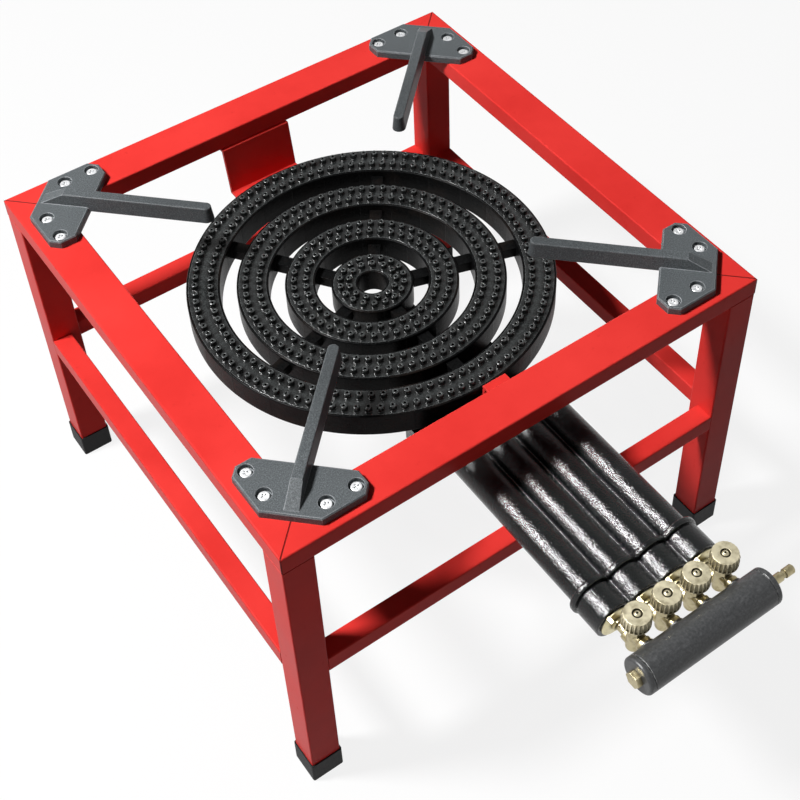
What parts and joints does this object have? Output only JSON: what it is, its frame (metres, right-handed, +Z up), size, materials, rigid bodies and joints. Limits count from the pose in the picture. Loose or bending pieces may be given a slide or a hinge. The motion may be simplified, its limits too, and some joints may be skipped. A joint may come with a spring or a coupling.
{
  "type": "gas burner stove",
  "caption": "Free-standing gas burner on a square steel stand, with concentric cast rings, mixing tubes, needle valves, corner pan supports and a gas manifold.",
  "frame": {"origin": "middle of the box's underside, on the floor", "axes": "+Z up, -Y to the valves and manifold, +X to the hose barb"},
  "size_m": [0.5026, 0.7292, 0.382],
  "materials": {
    "frame_paint": "gloss red paint",
    "foot_rubber": "matt",
    "support_iron": "satin black",
    "screw_steel": "bright zinc",
    "burner_iron": "rough casting",
    "jet_iron": "rough casting",
    "tube_iron": "gloss black enamel",
    "valve_brass": "turned",
    "knob_brass": "turned and fluted",
    "shutter_brass": "pressed sheet",
    "stem_steel": "turned",
    "manifold_paint": "satin charcoal"
  },
  "bodies": {
    "stand": {"top_rail_front": "frame_paint", "lower_rail_front": "frame_paint", "top_rail_right": "frame_paint", "lower_rail_right": "frame_paint", "top_rail_back": "frame_paint", "lower_rail_back": "frame_paint", "top_rail_left": "frame_paint", "lower_rail_left": "frame_paint", "leg_front_left": "frame_paint", "pan_support_front_left": "support_iron", "leg_front_right": "frame_paint", "pan_support_front_right": "support_iron", "leg_back_right": "frame_paint", "pan_support_back_right": "support_iron", "leg_back_left": "frame_paint", "pan_support_back_left": "support_iron", "foot_caps": "foot_rubber", "pan_support_screws": "screw_steel", "burner_front_bracket": "frame_paint", "burner_rear_bracket": "frame_paint", "burner_bolts": "screw_steel", "feed_casting": "tube_iron", "ring_body_1": "burner_iron", "ring_cover_1": "jet_iron", "mixing_tube_1": "tube_iron", "mouth_sleeve_1": "tube_iron", "ring_body_2": "burner_iron", "ring_cover_2": "jet_iron", "mixing_tube_2": "tube_iron", "mouth_sleeve_2": "tube_iron", "ring_body_3": "burner_iron", "ring_cover_3": "jet_iron", "mixing_tube_3": "tube_iron", "mouth_sleeve_3": "tube_iron", "ring_body_4": "burner_iron", "ring_cover_4": "jet_iron", "mixing_tube_4": "tube_iron", "mouth_sleeve_4": "tube_iron", "valve_bodies": "valve_brass", "inlet_unions": "valve_brass", "packing_nuts": "valve_brass", "jet_nozzles": "valve_brass", "manifold_pipe": "manifold_paint", "manifold_caps": "manifold_paint", "manifold_plug": "valve_brass", "hose_barb": "valve_brass"},
    "stem_1": {"valve_stem_1": "stem_steel"},
    "knob_1": {"valve_knob_1": "knob_brass"},
    "shutter_1": {"air_shutter_1": "shutter_brass"},
    "stem_2": {"valve_stem_2": "stem_steel"},
    "knob_2": {"valve_knob_2": "knob_brass"},
    "shutter_2": {"air_shutter_2": "shutter_brass"},
    "stem_3": {"valve_stem_3": "stem_steel"},
    "knob_3": {"valve_knob_3": "knob_brass"},
    "shutter_3": {"air_shutter_3": "shutter_brass"},
    "stem_4": {"valve_stem_4": "stem_steel"},
    "knob_4": {"valve_knob_4": "knob_brass"},
    "shutter_4": {"air_shutter_4": "shutter_brass"}
  },
  "joints": [
    {"name": "valve_1_lift", "type": "slide", "parent": "stand", "child": "stem_1", "axis": [0, 0, 1], "range_m": [0, 0.00312]},
    {"name": "valve_1_turn", "type": "hinge", "parent": "stem_1", "child": "knob_1", "pos_m": [-0.04575, -0.3181, 0.3226], "axis": [0, 0, 1], "range_deg": [0, 900]},
    {"name": "air_1_slide", "type": "slide", "parent": "stand", "child": "shutter_1", "axis": [0, -1, 0], "range_m": [0, 0.008]},
    {"name": "valve_2_lift", "type": "slide", "parent": "stand", "child": "stem_2", "axis": [0, 0, 1], "range_m": [0, 0.00312]},
    {"name": "valve_2_turn", "type": "hinge", "parent": "stem_2", "child": "knob_2", "pos_m": [-0.01525, -0.3181, 0.3226], "axis": [0, 0, 1], "range_deg": [0, 900]},
    {"name": "air_2_slide", "type": "slide", "parent": "stand", "child": "shutter_2", "axis": [0, -1, 0], "range_m": [0, 0.008]},
    {"name": "valve_3_lift", "type": "slide", "parent": "stand", "child": "stem_3", "axis": [0, 0, 1], "range_m": [0, 0.00312]},
    {"name": "valve_3_turn", "type": "hinge", "parent": "stem_3", "child": "knob_3", "pos_m": [0.01525, -0.3181, 0.3226], "axis": [0, 0, 1], "range_deg": [0, 900]},
    {"name": "air_3_slide", "type": "slide", "parent": "stand", "child": "shutter_3", "axis": [0, -1, 0], "range_m": [0, 0.008]},
    {"name": "valve_4_lift", "type": "slide", "parent": "stand", "child": "stem_4", "axis": [0, 0, 1], "range_m": [0, 0.00312]},
    {"name": "valve_4_turn", "type": "hinge", "parent": "stem_4", "child": "knob_4", "pos_m": [0.04575, -0.3181, 0.3226], "axis": [0, 0, 1], "range_deg": [0, 900]},
    {"name": "air_4_slide", "type": "slide", "parent": "stand", "child": "shutter_4", "axis": [0, -1, 0], "range_m": [0, 0.008]}
  ],
  "couplings": [
    {"joint": "valve_1_turn", "follows": "valve_1_lift", "rad_per_m": 5026.5},
    {"joint": "valve_2_turn", "follows": "valve_2_lift", "rad_per_m": 5026.5},
    {"joint": "valve_3_turn", "follows": "valve_3_lift", "rad_per_m": 5026.5},
    {"joint": "valve_4_turn", "follows": "valve_4_lift", "rad_per_m": 5026.5}
  ]
}
